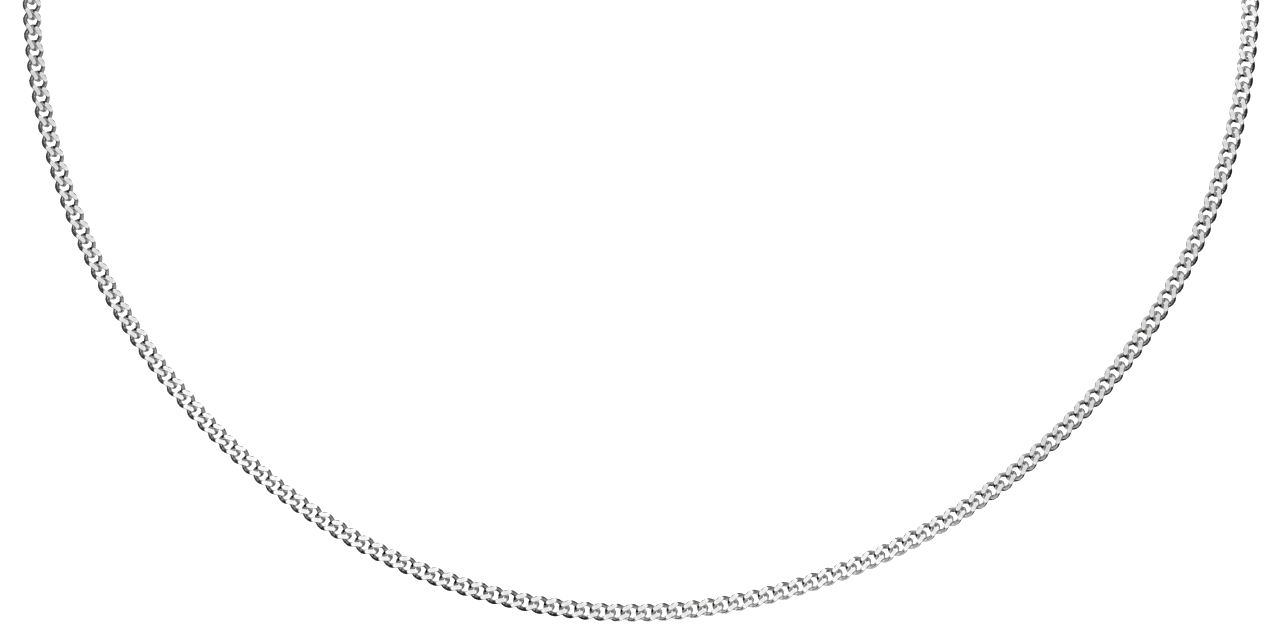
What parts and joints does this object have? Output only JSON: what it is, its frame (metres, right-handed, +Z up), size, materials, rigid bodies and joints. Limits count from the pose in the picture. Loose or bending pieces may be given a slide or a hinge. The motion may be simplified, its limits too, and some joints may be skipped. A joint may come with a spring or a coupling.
{
  "type": "curb chain necklace",
  "caption": "Flat curb chain necklace of polished silver, worn shape: round open loop hanging at the front, back bent over the shoulders to a plain lobster clasp at the nape.",
  "frame": {"origin": "on the underside of the clasp, at the middle of the nape, where the necklace rests on the neck", "axes": "+Z up, +X to the right as seen from the front, -Y to the front, as worn"},
  "size_m": [0.1456, 0.0791, 0.1153],
  "materials": {
    "chain_silver": "polished, with facets cut flat on the front and back",
    "clasp_silver": "polished"
  },
  "bodies": {
    "root": {"front_chain": "chain_silver", "back_chain": "chain_silver", "clasp": "clasp_silver", "clasp_ring": "clasp_silver", "catch_ring": "clasp_silver"}
  },
  "joints": []
}
